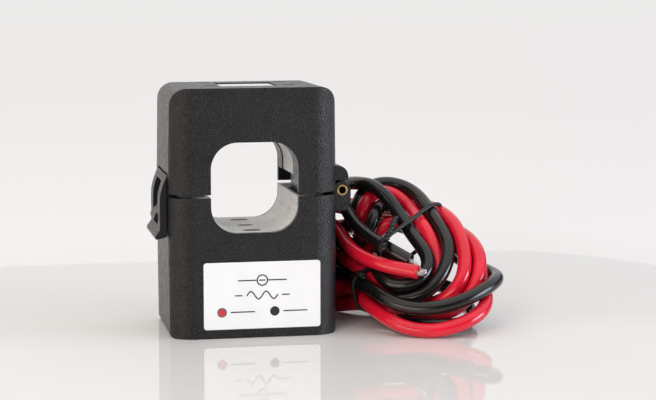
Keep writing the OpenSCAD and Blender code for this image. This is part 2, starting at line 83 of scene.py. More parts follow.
RED = [
    (21, 12.5, 8.5), (24.5, 12.5, 8.5), (27.5, 12, 9), (31.5, 8, 7.5), (32.5, 3, 7.5), (33.5, -3, 7.5),
    (35, -7, 6.5), (36, -10, 5), (36.5, -19.5, 4.5), (40, -23, 2), (45.5, -25, 2), (51, -26.5, 3),
    (56, -27, 5), (60.5, -25, 7.5), (63.5, -21.5, 9.5), (65, -17, 12), (65, -12, 15), (64.5, -7, 18),
    (62, -1, 21), (58, 6, 22.5), (53, 13, 24), (49.5, 20, 26), (44.5, 24, 29.5), (40, 27.5, 30),
    (35, 29, 29.5), (25.5, 28.5, 29.5), (19, 28, 27.5), (14.5, 26.5, 22), (14.5, 24, 14.5), (19, 22, 9.5),
    (25.5, 21.5, 7.5), (32, 14, 7.5), (34, 5, 8), (36.5, -4, 8), (39, -12, 7), (44.5, -11.5, 5),
    (50, -15, 5.5), (55, -17, 8), (58.5, -18.5, 10.5), (61, -18, 14), (63.5, -15.5, 17), (64, -12, 20),
    (63, -7.5, 22), (61, -3, 23), (58, 4.5, 24.5), (54, 12, 26.5), (49.5, 19.5, 28.5), (43, 20, 31.5),
    (38.5, 24, 30.5), (34.5, 25, 29), (21.5, 24.5, 28), (17.5, 24.5, 27), (15, 23.5, 23.5), (15, 22, 19),
    (17.5, 21, 16), (21.5, 21, 15), (31, 18, 15), (33, 13, 14.5), (35.5, 6, 14), (37.5, -2, 13.5),
    (40, -6, 12.5), (42.5, -9.5, 11), (45.5, -11, 11), (48.5, -9.5, 13), (50, -6.5, 15.5),
    (49.5, -2.5, 18.5), (47.5, 2, 21), (45.5, 6.5, 23.5), (43.5, 9.5, 24.5), (41.5, 11.5, 23.5),
    (38.5, 11, 21.5), (35, 9, 20), (33, 16, 17.5), (23, 25, 15), (20, 24.5, 16), (18, 23.5, 18.5),
    (18, 22, 22), (20, 21.5, 24.5), (23, 21, 25), (31.5, 20, 28), (34, 20, 30.5), (38.5, 18.5, 32),
    (45, 22.5, 32.5), (50, 20, 32.5), (52.5, 13.5, 31.5), (54.5, 6.5, 30.5), (57, 1.5, 29.5),
    (58.5, -3.5, 27.5), (59, -7, 24.5), (58.5, -10, 21.5), (57.5, -13, 18), (56, -14.5, 15),
    (53.5, -16, 10), (50.5, -16, 7), (46, -13.5, 6), (42, -11, 7), (38.5, -7, 9), (36, -1, 10.5),
    (34, 7, 11), (32.5, 16, 10), (20.5, 21, 10), (17.5, 21.5, 10.5), (15.5, 22, 13), (15.5, 23.5, 16.5),
    (17.5, 24.5, 19), (20.5, 25, 20), (32.5, 20, 22), (33, 14, 24.5), (34, 9.5, 27.5), (35, 8, 30.5),
    (38.5, 13, 32), (41.5, 13, 33), (44.5, 13, 33.5), (46.5, 10.5, 33), (47.5, 6.5, 31.5),
    (48.5, 2, 29.5), (50, -3, 26), (51, -7.5, 22), (50.5, -10.5, 18.5), (49.5, -12.5, 14),
    (47.5, -13.5, 10.5), (44.5, -13, 8), (41, -10.5, 9), (38.5, -7, 11), (35.5, -4, 13), (33.5, 2, 14),
    (31.5, 8.5, 15), (30.5, 15, 16), (30.5, 22, 16.5), (22.5, 28.5, 17.5), (19, 28, 18), (17, 25.5, 20),
    (17, 22.5, 22.5), (19, 20, 24), (22.5, 19, 24.5), (28.5, 17, 23), (29, 12.5, 22), (30, 8.5, 21.5),
    (30, -2.5, 21), (32.5, -6, 19), (36, -9.5, 17), (39.5, -12.5, 16), (42.5, -14.5, 15.5),
    (45, -16.5, 15),
]
BLACK = [
    (21, 12.5, 13.5), (24.5, 12.5, 13.5), (27.5, 12, 14), (31.5, 8, 13), (32.5, 3, 13.5),
    (33.5, -3, 13.5), (34.5, -7, 12), (36, -10, 10.5), (37, -17, 9), (40, -20.5, 8), (44, -22.5, 7.5),
    (48.5, -24.5, 8), (53, -25, 9), (58, -24.5, 10), (62, -22.5, 11.5), (65, -19.5, 12.5),
    (66.5, -15.5, 14), (66, -11, 16), (64, -5.5, 18), (60.5, 0, 20), (55.5, 5.5, 22), (51, 11, 24.5),
    (47, 14, 26.5), (44, 16, 27), (40, 15, 26), (37.5, 20, 23), (35, 25, 21), (20.5, 28.5, 20),
    (17, 28.5, 19), (15, 27.5, 16.5), (15, 26, 12.5), (17, 25.5, 10), (20.5, 25, 9), (33.5, 16, 10),
    (36, 8, 9.5), (38, 0, 9.5), (41, -4.5, 7), (44.5, -8, 5.5), (49.5, -11.5, 5.5), (54, -14, 7.5),
    (57, -13.5, 10.5), (59.5, -13, 13.5), (61, -10.5, 16.5), (61.5, -7.5, 19), (61, -3.5, 21),
    (58.5, 1.5, 23), (54.5, 6, 24.5), (50, 10, 27), (46.5, 14, 29.5), (43, 15, 30), (38, 5, 30),
    (36.5, 5, 27), (35, 6.5, 23.5), (33.5, 10, 20.5), (32, 15, 18.5), (21, 21, 18), (17, 21.5, 17),
    (15, 22.5, 14), (15, 24, 10), (17, 25, 7), (21, 25.5, 6), (32, 19, 6.5), (35.5, 17.5, 5),
    (39, 16, 3.5), (41.5, 10, 2.5), (43.5, 3, 2), (44.5, -8, 2), (46.5, -17, 2), (50, -20.5, 2),
    (53.5, -18, 2), (58.5, -9, 2), (60.5, -3.5, 3.5), (58.5, -5.5, 6.5), (55.5, -9, 9.5),
    (51.5, -6, 10.5), (48, -2.5, 12), (44.5, 1, 13), (41.5, 5.5, 15), (38, 8, 16.5), (35.5, 14, 17),
    (33, 20, 16.5), (20, 28.5, 15), (17, 28, 16), (15, 26.5, 17.5), (15, 24, 20.5), (17, 22, 22.5),
    (20, 21.5, 23), (32, 17, 26.5), (33, 14, 29.5), (34.5, 12.5, 32), (37, 11.5, 34), (40, 11, 36),
    (44.5, 15.5, 35.5), (47, 14.5, 35.5), (49, 12, 35), (50, 9, 33.5), (51.5, 5.5, 32), (53, 0, 29),
    (54.5, -4, 26), (54.5, -8.5, 22.5), (53.5, -12, 18.5), (51, -14.5, 14), (48, -16.5, 9.5),
    (45.5, -16, 7), (42, -14, 7.5), (39, -10, 9.5), (36.5, -6, 11.5), (34.5, 2, 11.5), (33.5, 12, 12),
    (32, 18, 11.5), (25.5, 28.5, 10.5), (19, 28, 12.5), (14.5, 27, 17.5), (14.5, 25, 25.5),
    (19, 24, 30.5), (25.5, 23.5, 32.5), (33.5, 25, 34.5), (35.5, 22.5, 36.5), (38, 19, 38),
    (40, 15.5, 37.5), (42, 9, 34.5), (44, 4.5, 31), (45, 0.5, 28), (47, -2.5, 25), (48.5, -6.5, 22.5),
    (48.5, -10.5, 19.5), (47.5, -14, 16), (45.5, -16, 12.5), (42.5, -16.5, 10), (40.5, -14.5, 10.5),
    (39.5, -11, 12), (36.5, -9, 13.5), (34.5, -1, 14.5), (33, 8, 14.5), (31.5, 16, 14.5),
    (24.5, 21, 14.5), (19, 21, 16), (15.5, 20.5, 20.5), (15.5, 19.5, 27), (19, 19, 31.5), (24.5, 19, 33),
    (28.5, 16.5, 32), (30, 12.5, 30), (31.5, 9, 28.5), (32, 2.5, 27.5), (33.5, -1.5, 25),
    (36, -4.5, 23.5), (38.5, -7.5, 22), (41, -10.5, 20.5), (43, -13, 18.5),
]


def even(points, step):
    s = np.concatenate([[0], np.cumsum(np.linalg.norm(np.diff(points, axis=0), axis=1))])
    t = np.linspace(0, s[-1], max(2, int(round(s[-1] / step))) + 1)
    return np.column_stack([np.interp(t, s, points[:, k]) for k in range(3)])


def spline(points, step, fine=12):
    points = np.asarray(points, float)
    q = np.vstack([2 * points[0] - points[1], points, 2 * points[-1] - points[-2]])
    out = []
    for i in range(1, len(points)):
        p0, p1, p2, p3 = q[i - 1 : i + 3]
        t0 = 0.0
        t1 = t0 + max(np.linalg.norm(p1 - p0), 1e-3) ** 0.5
        t2 = t1 + max(np.linalg.norm(p2 - p1), 1e-3) ** 0.5
        t3 = t2 + max(np.linalg.norm(p3 - p2), 1e-3) ** 0.5
        for t in np.linspace(t1, t2, fine, endpoint=False):
            a1 = (t1 - t) / (t1 - t0) * p0 + (t - t0) / (t1 - t0) * p1
            a2 = (t2 - t) / (t2 - t1) * p1 + (t - t1) / (t2 - t1) * p2
            a3 = (t3 - t) / (t3 - t2) * p2 + (t - t2) / (t3 - t2) * p3
            b1 = (t2 - t) / (t2 - t0) * a1 + (t - t0) / (t2 - t0) * a2
            b2 = (t3 - t) / (t3 - t1) * a2 + (t - t1) / (t3 - t1) * a3
            out.append((t2 - t) / (t2 - t1) * b1 + (t - t1) / (t2 - t1) * b2)
    out.append(points[-1])
    return even(np.array(out), step)


def push_out(p, low, high, r):
    c = np.clip(p, low, high)
    d = p - c
    dist = np.linalg.norm(d, axis=1)
    out = p.copy()
    near = (dist < r) & (dist > 1e-9)
    out[near] = c[near] + d[near] / dist[near][:, None] * r
    inside = dist <= 1e-9
    if inside.any():
        q = p[inside]
        dx = high[0] - q[:, 0]
        dy = high[1] - q[:, 1]
        side = dy < dx
        q2 = q.copy()
        q2[~side, 0] = high[0] + r
        q2[side, 1] = high[1] + r
        out[inside] = q2
    return out


# What the leads keep clear of: the case, the hinge, the grommet and the way through the window.
SOLIDS = [
    (np.array([-30.55, -16.8, 0.0]), np.array([22.85, 16.8, 38.5])),
    (np.array([-30.55, -11.2, 33.2]), np.array([27.25, 11.2, 42.0])),
    (np.array([19.45, 9.6, 5.6]), np.array([24.35, 15.4, 16.4])),
    (np.array([-30.55, 17.0, 25.5]), np.array([12.65, 60.0, 60.0])),
]


def settle(paths, held=3, stages=((300, 0.04, 0.05), (500, 0.012, 0.05), (700, 0.0, 0.04)), gap=7, tight=6.8):
    """Pushes strands apart to one diameter, opens tight bends and keeps the length."""
    sizes = [len(p) for p in paths]
    ids = np.concatenate([np.full(n, i) for i, n in enumerate(sizes)])
    idx = np.concatenate([np.arange(n) for n in sizes])
    x = np.vstack(paths).copy()
    start = x.copy()
    count = len(x)
    off = np.concatenate([[0], np.cumsum(sizes)])
    lock = idx < held
    free = (~lock).astype(float)
    # strands on the near face of the hank hold their drawn place, those behind give way
    near = np.clip((x @ np.array([-0.31, -0.636, 0.707]) + 3.5) / 5.0, 0.0, 1.0) * (x[:, 1] < 14)
    near = np.maximum(near, idx < 26)
    free *= 1.0 - 0.8 * near
    chords = [(k, 2 * tight * math.sin(min(k * STEP / tight, math.pi / 2))) for k in (1, 2, 3)]
    turn = 0
    for steps, keep, bend in stages:
        for _ in range(steps):
            if turn % 10 == 0:
                d2 = ((x[:, None, :] - x[None, :, :]) ** 2).sum(-1)
                far = (ids[:, None] != ids[None, :]) | (np.abs(idx[:, None] - idx[None, :]) >= gap)
                pi, pj = np.nonzero(np.triu(far & (d2 < (BORE + 2.5) ** 2), 1))
            for k, n in enumerate(sizes):
                p = x[off[k] : off[k] + n]
                lap = np.zeros_like(p)
                lap[1:-1] = p[:-2] + p[2:] - 2 * p[1:-1]
                bi = np.zeros_like(p)
                bi[1:-1] = lap[:-2] + lap[2:] - 2 * lap[1:-1]
                bi[1] = 0
                p -= bend * bi
            if keep:
                x += keep * (start - x)
            for _ in range(2):
                dd = x[pi] - x[pj]
                ds = np.linalg.norm(dd, axis=1)
                m = ds < BORE
                i, j, v, s = pi[m], pj[m], dd[m], ds[m]
                both = np.maximum(free[i] + free[j], 1e-6)
                c = ((BORE - s) / np.maximum(s, 1e-3))[:, None] * v
                mv = np.zeros_like(x)
                hits = np.zeros(count)
                np.add.at(mv, i, c * (free[i] / both)[:, None])
                np.add.at(mv, j, -c * (free[j] / both)[:, None])
                np.add.at(hits, i, 1)
                np.add.at(hits, j, 1)
                x += mv / np.maximum(hits, 1)[:, None] ** 0.7
                for k, n in enumerate(sizes):
                    p = x[off[k] : off[k] + n]
                    for par in (0, 1):
                        q = np.arange(par, n - 1, 2)
                        dv = p[q + 1] - p[q]
                        length = np.linalg.norm(dv, axis=1)
                        f = ((length - STEP) / length * 0.45)[:, None] * dv
                        p[q] += f
                        p[q + 1] -= f
                    for kk, chord in chords:
                        q = np.arange(0, n - 2 * kk)
                        dv = p[q + 2 * kk] - p[q]
                        length = np.linalg.norm(dv, axis=1)
                        f = (np.maximum(chord - length, 0) / length * 0.12)[:, None] * dv
                        mv = np.zeros_like(p)
                        mv[q] -= f
                        mv[q + 2 * kk] += f
                        mid = 0.5 * (p[q] + p[q + 2 * kk]) - p[q + kk]
                        mv[q + kk] += (np.maximum(chord - length, 0) / chord * 0.25)[:, None] * mid
                        p += mv
                q = x[~lock]
                for low, high in SOLIDS:
                    q = push_out(q, low, high, 2.05)
                q[:, 2] = np.clip(q[:, 2], 1.97, 38.2)
                q[:, 1] = np.minimum(q[:, 1], 31.0)
                x[~lock] = q
                x[lock] = start[lock]
            turn += 1
    return [x[off[k] : off[k] + n] for k, n in enumerate(sizes)]


red_start = spline(np.array(RED, float), STEP)
black_start = spline(np.array(BLACK, float), STEP)
red_line, black_line = settle([red_start, black_start])


# ------------------------------------------------------------------ mesh helpers


def mesh_object(name, verts, faces, smooth=True):
    me = bpy.data.meshes.new(name)
    me.from_pydata([tuple(v) for v in verts], [], [tuple(f) for f in faces])
    me.validate(clean_customdata=False)
    me.update()
    if smooth:
        me.shade_smooth()
    ob = bpy.data.objects.new(name, me)
    scene.collection.objects.link(ob)
    return ob


def frames_along(line):
    """Unit tangents and a pair of normals carried along the line without twist."""
    t = np.gradient(line, axis=0)
    t /= np.linalg.norm(t, axis=1)[:, None]
    n = np.zeros_like(t)
    first = np.cross(t[0], (0.0, 0.0, 1.0))
    if np.linalg.norm(first) < 1e-3:
        first = np.cross(t[0], (0.0, 1.0, 0.0))
    n[0] = first / np.linalg.norm(first)
    for i in range(1, len(t)):
        v = n[i - 1] - t[i] * np.dot(n[i - 1], t[i])
        n[i] = v / np.linalg.norm(v)
    return t, n, np.cross(t, n)


def tube(name, line, radius, sides=20, closed=False, cap=0.0, profile=None):
    """A swept tube in metres from a line in millimetres; radius in millimetres may vary along it."""
    line = np.asarray(line, float)
    t, n, b = frames_along(line)
    if closed:
        # carried normals are turned back so that the loop closes without a seam
        v = n[-1] - t[0] * np.dot(n[-1], t[0])
        v /= np.linalg.norm(v)
        ang = math.atan2(np.dot(np.cross(n[0], v), t[0]), np.dot(n[0], v))
        for i in range(len(t)):
            a = -ang * i / (len(t) - 1)
            n[i], b[i] = n[i] * math.cos(a) + b[i] * math.sin(a), b[i] * math.cos(a) - n[i] * math.sin(a)
    r = np.broadcast_to(np.asarray(radius, float), (len(line),))
    verts, faces = [], []
    rings = []

    def ring(c, nn, bb, rr):
        at = len(verts)
        for k in range(sides):
            a = 2 * math.pi * k / sides
            q = rr if profile is None else rr * profile[k]
            verts.append((c + (nn * math.cos(a) + bb * math.sin(a)) * q) * MM)
        rings.append(at)

    if not closed and cap > 0:
        ring(line[0], n[0], b[0], r[0] - cap)
        ring(line[0] + t[0] * cap * 0.3, n[0], b[0], r[0] - cap * 0.3)
    for i in range(len(line) - (1 if closed else 0)):
        c = line[i]
        if cap > 0 and not closed:
            if i == 0:
                c = line[0] + t[0] * cap
            if i == len(line) - 1:
                c = line[-1] - t[-1] * cap
        ring(c, n[i], b[i], r[i])
    if not closed and cap > 0:
        ring(line[-1] - t[-1] * cap * 0.3, n[-1], b[-1], r[-1] - cap * 0.3)
        ring(line[-1], n[-1], b[-1], r[-1] - cap)
    for i in range(len(rings) - 1):
        for k in range(sides):
            a, c = rings[i] + k, rings[i] + (k + 1) % sides
            d, e = rings[i + 1] + (k + 1) % sides, rings[i + 1] + k
            faces.append((a, c, d, e))
    if closed:
        for k in range(sides):
            a, c = rings[-1] + k, rings[-1] + (k + 1) % sides
            d, e = rings[0] + (k + 1) % sides, rings[0] + k
            faces.append((a, c, d, e))
    else:
        faces.append(tuple(rings[0] + k for k in reversed(range(sides))))
        faces.append(tuple(rings[-1] + k for k in range(sides)))
    return mesh_object(name, verts, faces)


# ------------------------------------------------------------------ material helpers


def material(name):
    m = bpy.data.materials.new(name)
    m.use_nodes = True
    nt = m.node_tree
    nt.nodes.clear()
    out = nt.nodes.new("ShaderNodeOutputMaterial")
    sh = nt.nodes.new("ShaderNodeBsdfPrincipled")
    nt.links.new(sh.outputs[0], out.inputs[0])
    return m, nt, sh


def link(nt, a, b):
    nt.links.new(a, b)


def coords(nt, scale=(1, 1, 1), rotate=(0, 0, 0)):
    tc = nt.nodes.new("ShaderNodeTexCoord")
    mp = nt.nodes.new("ShaderNodeMapping")
    mp.inputs["Scale"].default_value = scale
    mp.inputs["Rotation"].default_value = rotate
    link(nt, tc.outputs["Object"], mp.inputs["Vector"])
    return mp.outputs["Vector"]


def noise(nt, vec, scale, detail=2.0, rough=0.5):
    n = nt.nodes.new("ShaderNodeTexNoise")
    n.inputs["Scale"].default_value = scale
    n.inputs["Detail"].default_value = detail
    n.inputs["Roughness"].default_value = rough
    link(nt, vec, n.inputs["Vector"])
    return n.outputs["Fac"]


def ramp(nt, fac, stops):
    r = nt.nodes.new("ShaderNodeValToRGB")
    e = r.color_ramp.elements
    while len(e) < len(stops):
        e.new(0.5)
    for el, (pos, col) in zip(e, stops):
        el.position = pos
        el.color = (*col, 1.0) if len(col) == 3 else col
    link(nt, fac, r.inputs["Fac"])
    return r.outputs["Color"]


def spread(nt, fac, low, high, a=0.0, b=1.0):
    r = nt.nodes.new("ShaderNodeMapRange")
    r.inputs["From Min"].default_value = low
    r.inputs["From Max"].default_value = high
    r.inputs["To Min"].default_value = a
    r.inputs["To Max"].default_value = b
    link(nt, fac, r.inputs["Value"])
    return r.outputs["Result"]


def maths(nt, op, a, b=None):
    n = nt.nodes.new("ShaderNodeMath")
    n.operation = op
    for i, v in enumerate((a, b)):
        if v is None:
            continue
        if isinstance(v, (int, float)):
            n.inputs[i].default_value = v
        else:
            link(nt, v, n.inputs[i])
    return n.outputs[0]


def bump(nt, sh, height, distance, strength=1.0, normal=None):
    b = nt.nodes.new("ShaderNodeBump")
    b.inputs["Strength"].default_value = strength
    b.inputs["Distance"].default_value = distance
    link(nt, height, b.inputs["Height"])
    if normal is not None:
        link(nt, normal, b.inputs["Normal"])
    if sh is not None:
        link(nt, b.outputs[0], sh.inputs["Normal"])
    return b.outputs[0]


def grained_plastic(name, dark, light, rough=(0.48, 0.6), grain=2600.0, depth=0.00004, edge=None):
    m, nt, sh = material(name)
    v = coords(nt)
    fine = noise(nt, v, grain, 2.0, 0.55)
    broad = noise(nt, v, 90.0, 3.0, 0.6)
    mid = noise(nt, v, 700.0, 2.0, 0.5)
    mixed = maths(nt, "ADD", maths(nt, "MULTIPLY", fine, 0.85), maths(nt, "MULTIPLY", broad, 0.15))
    link(nt, ramp(nt, mixed, [(0.42, dark), (0.58, light)]), sh.inputs["Base Color"])
    link(nt, spread(nt, mid, 0.3, 0.7, rough[0], rough[1]), sh.inputs["Roughness"])
    height = maths(nt, "ADD", fine, maths(nt, "MULTIPLY", mid, 0.4))
    bump(nt, sh, height, depth)
    sh.inputs["Specular IOR Level"].default_value = 0.4
    return m


def pvc(name, dark, light, rough=(0.26, 0.36), coat=0.15):
    m, nt, sh = material(name)
    v = coords(nt)
    broad = noise(nt, v, 120.0, 3.0, 0.55)
    fine = noise(nt, v, 1400.0, 2.0, 0.5)
    link(nt, ramp(nt, broad, [(0.3, dark), (0.7, light)]), sh.inputs["Base Color"])
    link(nt, spread(nt, fine, 0.3, 0.7, rough[0], rough[1]), sh.inputs["Roughness"])
    bump(nt, sh, fine, 0.000008)
    sh.inputs["Coat Weight"].default_value = coat
    sh.inputs["Coat Roughness"].default_value = 0.08
    return m


def metal(name, dark, light, rough=(0.2, 0.35), grain=1500.0, stretch=(1, 1, 1), depth=0.00002):
    m, nt, sh = material(name)
    v = coords(nt, stretch)
    fine = noise(nt, v, grain, 3.0, 0.55)
    broad = noise(nt, v, 150.0, 2.0, 0.5)
    link(nt, ramp(nt, broad, [(0.3, dark), (0.7, light)]), sh.inputs["Base Color"])
    link(nt, spread(nt, fine, 0.3, 0.7, rough[0], rough[1]), sh.inputs["Roughness"])
    bump(nt, sh, fine, depth)
    sh.inputs["Metallic"].default_value = 1.0
    return m


M = {}
M["case"] = grained_plastic("case_black", (0.0005, 0.0005, 0.0006), (0.018, 0.0175, 0.0183), rough=(0.26, 0.42), grain=2500.0, depth=0.00023)
M["latch"] = grained_plastic("latch_black", (0.004, 0.004, 0.0045), (0.011, 0.011, 0.012), rough=(0.34, 0.46), depth=0.00006)
M["red"] = pvc("pvc_red", (0.66, 0.005, 0.022), (0.80, 0.012, 0.040), rough=(0.16, 0.26), coat=0.25)
M["black"] = pvc("pvc_black", (0.003, 0.003, 0.003), (0.008, 0.0077, 0.0074), rough=(0.2, 0.3), coat=0.3)
M["tie"] = pvc("tie_black", (0.005, 0.005, 0.005), (0.011, 0.011, 0.011), rough=(0.4, 0.5), coat=0.0)
M["grommet"] = grained_plastic("grommet_black", (0.01, 0.01, 0.01), (0.02, 0.02, 0.02), grain=1800.0)
M["brass"] = metal("pin_brass", (0.62, 0.44, 0.14), (0.86, 0.66, 0.26))
M["steel"] = metal("pin_steel", (0.45, 0.45, 0.46), (0.66, 0.66, 0.67))
M["tin"] = metal("tinned_wire", (0.55, 0.53, 0.5), (0.82, 0.8, 0.77), rough=(0.3, 0.45))
M["spring"] = metal("spring_steel", (0.4, 0.4, 0.41), (0.6, 0.6, 0.6))
M["copper"] = metal("copper_wire", (0.55, 0.2, 0.08), (0.78, 0.36, 0.18), stretch=(1, 1, 8))
M["bobbin"] = grained_plastic("bobbin_ivory", (0.62, 0.58, 0.48), (0.74, 0.7, 0.6))
M["tape"] = grained_plastic("coil_tape", (0.55, 0.4, 0.08), (0.68, 0.52, 0.14))
M["board"] = grained_plastic("board_green", (0.012, 0.1, 0.04), (0.03, 0.16, 0.07))
M["diode"] = grained_plastic("diode_black", (0.01, 0.01, 0.01), (0.02, 0.02, 0.02))


def core_metal():
    m, nt, sh = material("core_steel")
    v = coords(nt)
    w = nt.nodes.new("ShaderNodeTexWave")
    w.wave_type = "BANDS"
    w.bands_direction = "X"
    w.inputs["Scale"].default_value = 420.0
    w.inputs["Distortion"].default_value = 0.6
    link(nt, v, w.inputs["Vector"])
    fine = noise(nt, v, 1200.0, 3.0, 0.6)
    link(nt, ramp(nt, w.outputs["Fac"], [(0.2, (0.2, 0.2, 0.2)), (0.8, (0.42, 0.42, 0.41))]), sh.inputs["Base Color"])
    link(nt, spread(nt, fine, 0.3, 0.7, 0.3, 0.5), sh.inputs["Roughness"])
    bump(nt, sh, w.outputs["Fac"], 0.00003)
    sh.inputs["Metallic"].default_value = 0.85
    return m


M["core"] = core_metal()


def liner_pale():
    m, nt, sh = material("liner_pale")
    v = coords(nt)
    broad = noise(nt, v, 110.0, 3.0, 0.55)
    streak = noise(nt, coords(nt, (1.0, 0.06, 1.0)), 900.0, 2.0, 0.5)
    both = maths(nt, "ADD", maths(nt, "MULTIPLY", broad, 0.5), maths(nt, "MULTIPLY", streak, 0.5))
    link(nt, ramp(nt, both, [(0.36, (0.42, 0.41, 0.39)), (0.46, (0.6, 0.59, 0.57)), (0.64, (0.72, 0.71, 0.69))]), sh.inputs["Base Color"])
    link(nt, spread(nt, streak, 0.3, 0.7, 0.34, 0.5), sh.inputs["Roughness"])
    bump(nt, sh, streak, 0.00004)
    return m


M["liner"] = liner_pale()


def paper():
    m, nt, sh = material("label_white")
    v = coords(nt)
    fibre = noise(nt, v, 1600.0, 3.0, 0.6)
    broad = noise(nt, v, 80.0, 2.0, 0.5)
    link(nt, ramp(nt, broad, [(0.3, (0.84, 0.84, 0.83)), (0.7, (0.89, 0.89, 0.885))]), sh.inputs["Base Color"])
    link(nt, spread(nt, fibre, 0.3, 0.7, 0.42, 0.55), sh.inputs["Roughness"])
    bump(nt, sh, fibre, 0.00001)
    return m


M["label"] = paper()


def ink_like(name, dark, light):
    m, nt, sh = material(name)
    v = coords(nt)
    link(nt, ramp(nt, noise(nt, v, 2500.0, 3.0, 0.6), [(0.3, dark), (0.7, light)]), sh.inputs["Base Color"])
    link(nt, spread(nt, noise(nt, v, 1200.0, 2.0, 0.5), 0.3, 0.7, 0.45, 0.6), sh.inputs["Roughness"])
    return m


M["ink"] = ink_like("print_dark", (0.012, 0.012, 0.013), (0.03, 0.03, 0.03))
M["ink_red"] = ink_like("print_red", (0.55, 0.02, 0.03), (0.68, 0.05, 0.06))
M["mark"] = ink_like("moulded_mark", (0.006, 0.006, 0.006), (0.016, 0.016, 0.016))
# painted shade: a near-black brass for the inside of the rivet's bore, in place of the rivet's own brass
M["bore"] = metal("pin_bore_painted_shade", (0.02, 0.015, 0.008), (0.06, 0.045, 0.02), rough=(0.5, 0.65))


def dress(obj, mat):
    obj.data.materials.clear()
    obj.data.materials.append(mat)


# ------------------------------------------------------------------ cords


def fine_line(line, step):
    return spline(line, step, 6)


red_fine = fine_line(red_line, 0.9)
black_fine = fine_line(black_line, 0.9)
LEAD_R = 1.95


lead_red = tube("lead_wire_red", red_fine, LEAD_R, sides=24, cap=0.18)
lead_black = tube("lead_wire_black", black_fine, LEAD_R, sides=24, cap=0.18)
dress(lead_red, M["red"])
dress(lead_black, M["black"])
for ob, nodes in ((lead_red, ("lead_red", "lead_hank")), (lead_black, ("lead_black",))):
    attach(ob, "lower")
    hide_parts(*nodes)

# ------------------------------------------------------------------ ties and bare ends


def merge(name, parts):
    """Puts several mesh objects together in one."""
    bm = bmesh.new()
    for p in parts:
        bm.from_mesh(p.data)
        me = p.data
        bpy.data.objects.remove(p)
        bpy.data.meshes.remove(me)
    me = bpy.data.meshes.new(name)
    bm.to_mesh(me)
    bm.free()
    me.shade_smooth()
    ob = bpy.data.objects.new(name, me)
    scene.collection.objects.link(ob)
    return ob


def hull(points):
    """Outline of flat points, against the clock."""
    pts = sorted(map(tuple, np.round(points, 4)))

    def half(seq):
        out = []
        for p in seq:
            while len(out) > 1 and (out[-1][0] - out[-2][0]) * (p[1] - out[-2][1]) - (out[-1][1] - out[-2][1]) * (p[0] - out[-2][0]) <= 0:
                out.pop()
            out.append(p)
        return out[:-1]

    return np.array(half(pts) + half(reversed(pts)))


def verts_mm(ob):
    co = np.empty(len(ob.data.vertices) * 3, np.float32)
    ob.data.vertices.foreach_get("co", co)
    return co.reshape(-1, 3).astype(float) / MM


def loop_round(middle, along, across, half_a, half_c, clear):
    """A tight closed line round the strands that cross a plane."""
    middle = np.array(middle, float)
    a = np.array(along, float)
    a /= np.linalg.norm(a)
    c = np.array(across, float)
    c -= a * np.dot(a, c)
    c /= np.linalg.norm(c)
    b = np.cross(a, c)
    d = np.vstack([verts_mm(lead_red), verts_mm(lead_black)]) - middle
    m = (np.abs(d @ b) < 0.7) & (np.abs(d @ a) < half_a) & (np.abs(d @ c) < half_c)
    flat = hull(np.column_stack([d[m] @ a, d[m] @ c]))
    ring = np.vstack([flat, flat[:1]])
    ring = even(np.column_stack([ring, np.zeros(len(ring))]), 0.5)[:-1, :2]
    t = np.roll(ring, -1, axis=0) - np.roll(ring, 1, axis=0)
    t /= np.linalg.norm(t, axis=1)[:, None]
    ring = ring + np.column_stack([t[:, 1], -t[:, 0]]) * clear
    for _ in range(6):
        ring = 0.5 * ring + 0.25 * (np.roll(ring, 1, axis=0) + np.roll(ring, -1, axis=0))
    wave = 0.12 * np.sin(np.arange(len(ring)) / len(ring) * 2 * math.pi * 3)
    return middle + ring[:, :1] * a + ring[:, 1:2] * c + wave[:, None] * b


def twisted(name, line, strand, apart, pitch, count, phase=0.0, taper=0.0, sides=10):
    """Strands wound round one line."""
    line = spline(np.array(line, float), 0.35, 10)
    t, n, b = frames_along(line)
    s = np.concatenate([[0], np.cumsum(np.linalg.norm(np.diff(line, axis=0), axis=1))])
    parts = []
    for k in range(count):
        f = phase + 2 * math.pi * k / count + 2 * math.pi * s / pitch
        grow = apart * (1 + taper * s / s[-1])
        path = line + n * (np.cos(f) * grow)[:, None] + b * (np.sin(f) * grow)[:, None]
        path = path - t * (0.0 if k == 0 else 0.25 * (k % 3))
        parts.append(tube("%s_%d" % (name, k), path, strand, sides=sides, cap=strand * 0.3))
    return merge(name, parts)


ring_upper = tube(
    "tie_upper_loop",
    loop_round((46.6, -1.5, 27.0), (56.0 - 39.7, 2.0 + 6.3, 32.3 - 23.4), (-0.31, -0.636, 0.707), 12.5, 11.0, 0.56),
    0.6,
    sides=10,
    closed=True,
)
tail_upper = twisted(
    "tie_upper_tail",
    [(42.0, -2.6, 29.6), (40.8, -4.8, 28.6), (39.4, -7.4, 26.9), (37.9, -9.6, 25.6), (36.4, -11.2, 24.0), (35.4, -12.2, 21.8)],
    0.5, 0.5, 3.4, 2,
)
tie_a = merge("tie_upper_wire", [ring_upper, tail_upper])
pair = (black_fine[26] + red_fine[26]) / 2
ahead = black_fine[29] - black_fine[23] + red_fine[29] - red_fine[23]
ahead /= np.linalg.norm(ahead)
rise = black_fine[26] - red_fine[26]
rise /= np.linalg.norm(rise)
ring_lower = tube(
    "tie_lower_loop",
    loop_round(pair, rise, np.cross(rise, ahead), 6.6, 4.4, 0.5),
    0.58,
    sides=10,
    closed=True,
)
top = pair + rise * 5.6
tail_lower = twisted(
    "tie_lower_tail",
    [top - rise * 0.5 + ahead * 0.2, top + rise * 0.5 + ahead * 0.5, top + rise * 0.9 + ahead * 2.0, top + rise * 0.3 + ahead * 3.6 + (0.6, -0.4, 0.0)],
    0.5, 0.5, 3.4, 2,
)
tie_b = merge("tie_lower_wire", [ring_lower, tail_lower])
for ob, node in ((tie_a, "tie_upper"), (tie_b, "tie_lower")):
    dress(ob, M["tie"])
    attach(ob, "lower")
    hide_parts(node)

